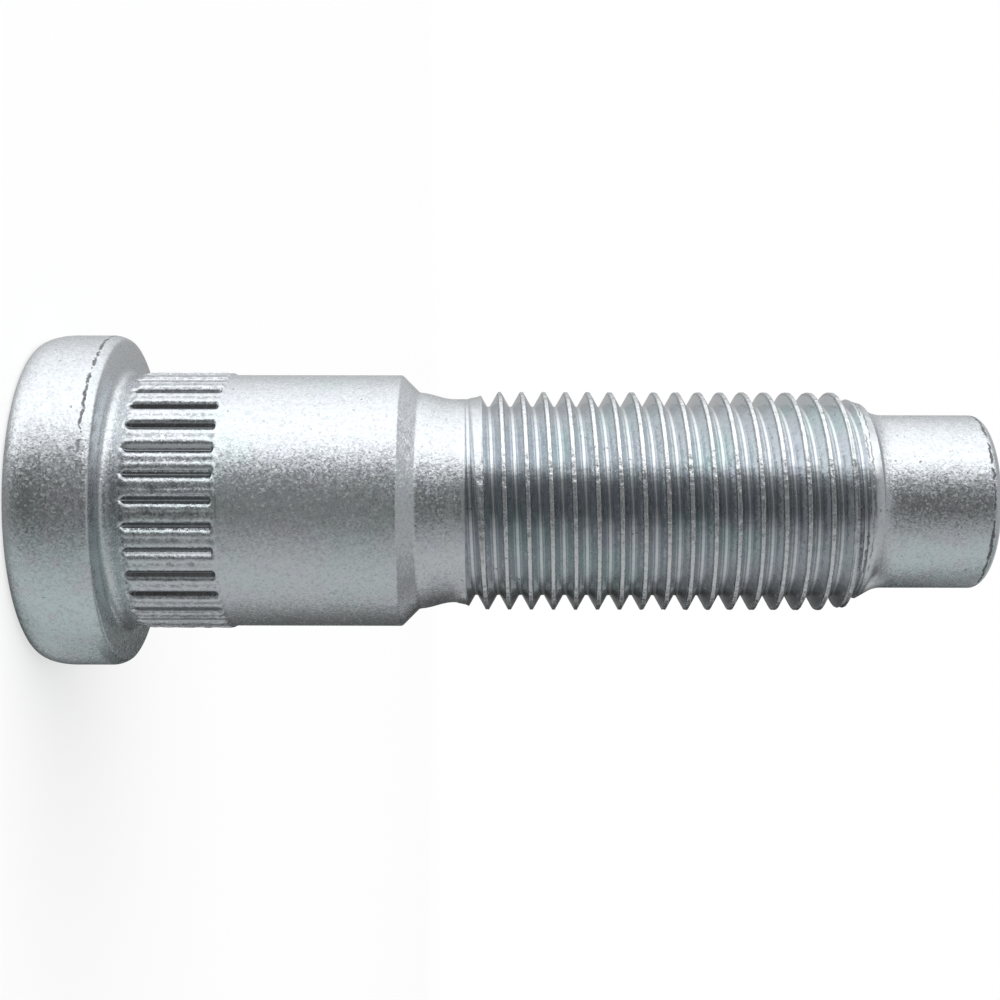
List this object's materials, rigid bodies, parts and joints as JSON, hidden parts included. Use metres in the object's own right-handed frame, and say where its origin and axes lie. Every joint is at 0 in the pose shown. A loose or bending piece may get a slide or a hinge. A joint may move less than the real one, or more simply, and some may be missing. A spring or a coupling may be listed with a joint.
{
  "type": "wheel stud",
  "caption": "Press-fit wheel stud: round flat head, serrated band and plain shank, tapered neck, rolled right-hand thread and a plain pilot tip that guides the nut.",
  "frame": {"origin": "middle of the head's outer face, on the stud's axis", "axes": "+Z runs along the axis from the head to the tip; one serration groove is centred on +X and one on +Y"},
  "size_m": [0.019, 0.019, 0.0538],
  "materials": {
    "zinc_plate": "bright zinc plating on steel, satin, slightly blue"
  },
  "bodies": {
    "root": {"wheel_stud": "zinc_plate"}
  },
  "joints": []
}
